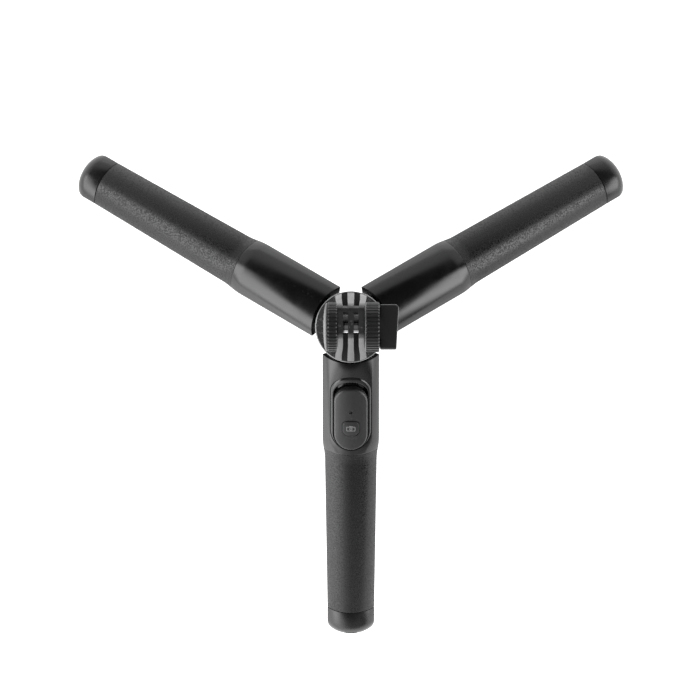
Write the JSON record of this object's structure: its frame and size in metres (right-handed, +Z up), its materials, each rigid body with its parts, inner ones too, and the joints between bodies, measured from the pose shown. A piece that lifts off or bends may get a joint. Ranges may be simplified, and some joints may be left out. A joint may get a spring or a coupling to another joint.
{
  "type": "selfie stick",
  "caption": "Handheld telescopic camera pole whose handle opens into a tripod, with a finger mount tightened by a winged thumb screw and a clip-in remote shutter.",
  "frame": {"origin": "on the pole's axis, at the flat underside of its bottom plug; the ground is 9 mm below it", "axes": "+Z up along the pole towards the head, +X towards the thumb screw, -Y along the front leg, which carries the remote"},
  "size_m": [0.3186, 0.2797, 0.2206],
  "materials": {
    "satin_black": "satin moulded plastic, fine even grain",
    "grip_black": "leather-like cross-hatched grip texture",
    "rubber_black": "matt rubber",
    "gloss_black": "smooth glossy moulded plastic",
    "tube_black": "black anodised, drawn tube",
    "remote_grey": "soft matt moulded plastic",
    "steel": "bright turned steel",
    "board_green": "green solder resist",
    "led_lens": "clear lamp lens"
  },
  "bodies": {
    "stand": {"hub_body": "satin_black", "hub_cap": "gloss_black", "hub_grub_screw": "steel", "hinge_pin_front": "steel", "hinge_pin_right": "steel", "hinge_pin_left": "steel", "tube_1": "tube_black", "bottom_plug": "rubber_black", "collar_1": "satin_black"},
    "leg_front": {"leg_front_shell": "satin_black", "leg_front_grip": "grip_black", "leg_front_cap": "gloss_black", "leg_front_foot": "rubber_black", "leg_front_bracket": "satin_black", "remote_cradle": "gloss_black"},
    "leg_right": {"leg_right_shell": "satin_black", "leg_right_grip": "grip_black", "leg_right_cap": "gloss_black", "leg_right_foot": "rubber_black", "leg_right_bracket": "satin_black"},
    "leg_left": {"leg_left_shell": "satin_black", "leg_left_grip": "grip_black", "leg_left_cap": "gloss_black", "leg_left_foot": "rubber_black", "leg_left_bracket": "satin_black"},
    "pole_2": {"tube_2": "tube_black", "guide_bush_2": "rubber_black", "collar_2": "satin_black"},
    "pole_3": {"tube_3": "tube_black", "guide_bush_3": "rubber_black", "collar_3": "satin_black"},
    "pole_4": {"tube_4": "tube_black", "guide_bush_4": "rubber_black", "collar_4": "satin_black"},
    "pole_5": {"tube_5": "tube_black", "guide_bush_5": "rubber_black", "head_socket": "satin_black", "pan_washer": "rubber_black", "pan_clip": "steel"},
    "head": {"swivel_base": "gloss_black", "fork": "satin_black", "fork_screw_1": "steel", "fork_screw_2": "steel", "hex_nut": "steel", "nut_knob": "satin_black", "nut_dome": "remote_grey"},
    "screw_feed": {"clamp_washer": "steel"},
    "thumb_screw": {"bolt": "steel", "thumb_knob": "satin_black", "thumb_wing": "satin_black"},
    "remote": {"remote_base": "remote_grey", "remote_cover": "remote_grey", "remote_board": "board_green", "remote_cell": "steel", "remote_switch": "steel", "remote_led": "led_lens"},
    "shutter_button": {"remote_button": "remote_grey"}
  },
  "joints": [
    {"name": "leg_front_fold", "type": "hinge", "parent": "stand", "child": "leg_front", "pos_m": [0, -0.014, 0.0965], "axis": [1, 0, 0], "range_deg": [0, 60]},
    {"name": "leg_right_fold", "type": "hinge", "parent": "stand", "child": "leg_right", "pos_m": [0.01212, 0.007, 0.0965], "axis": [-0.5, 0.866, 0], "range_deg": [0, 60]},
    {"name": "leg_left_fold", "type": "hinge", "parent": "stand", "child": "leg_left", "pos_m": [-0.01212, 0.007, 0.0965], "axis": [-0.5, -0.866, 0], "range_deg": [0, 60]},
    {"name": "pole_2_slide", "type": "slide", "parent": "stand", "child": "pole_2", "axis": [0, 0, 1], "range_m": [0, 0.1]},
    {"name": "pole_3_slide", "type": "slide", "parent": "pole_2", "child": "pole_3", "axis": [0, 0, 1], "range_m": [0, 0.1]},
    {"name": "pole_4_slide", "type": "slide", "parent": "pole_3", "child": "pole_4", "axis": [0, 0, 1], "range_m": [0, 0.1]},
    {"name": "pole_5_slide", "type": "slide", "parent": "pole_4", "child": "pole_5", "axis": [0, 0, 1], "range_m": [0, 0.1]},
    {"name": "head_pan", "type": "hinge", "parent": "pole_5", "child": "head", "pos_m": [0, 0, 0.1756], "axis": [0, 0, 1], "continuous": true},
    {"name": "thumb_feed", "type": "slide", "parent": "head", "child": "screw_feed", "axis": [1, 0, 0], "range_m": [0, 0.0025]},
    {"name": "thumb_turn", "type": "hinge", "parent": "screw_feed", "child": "thumb_screw", "pos_m": [0, 0, 0.197], "axis": [1, 0, 0], "range_deg": [0, 1080]},
    {"name": "remote_lift", "type": "slide", "parent": "leg_front", "child": "remote", "axis": [0, -0.5, 0.866], "range_m": [0, 0.02]},
    {"name": "shutter_press", "type": "slide", "parent": "remote", "child": "shutter_button", "axis": [0, 0.5, -0.866], "range_m": [0, 0.0004], "stiffness_N_per_m": 500}
  ],
  "couplings": [
    {"joint": "thumb_feed", "follows": "thumb_turn", "m_per_rad": 0.00012732}
  ]
}
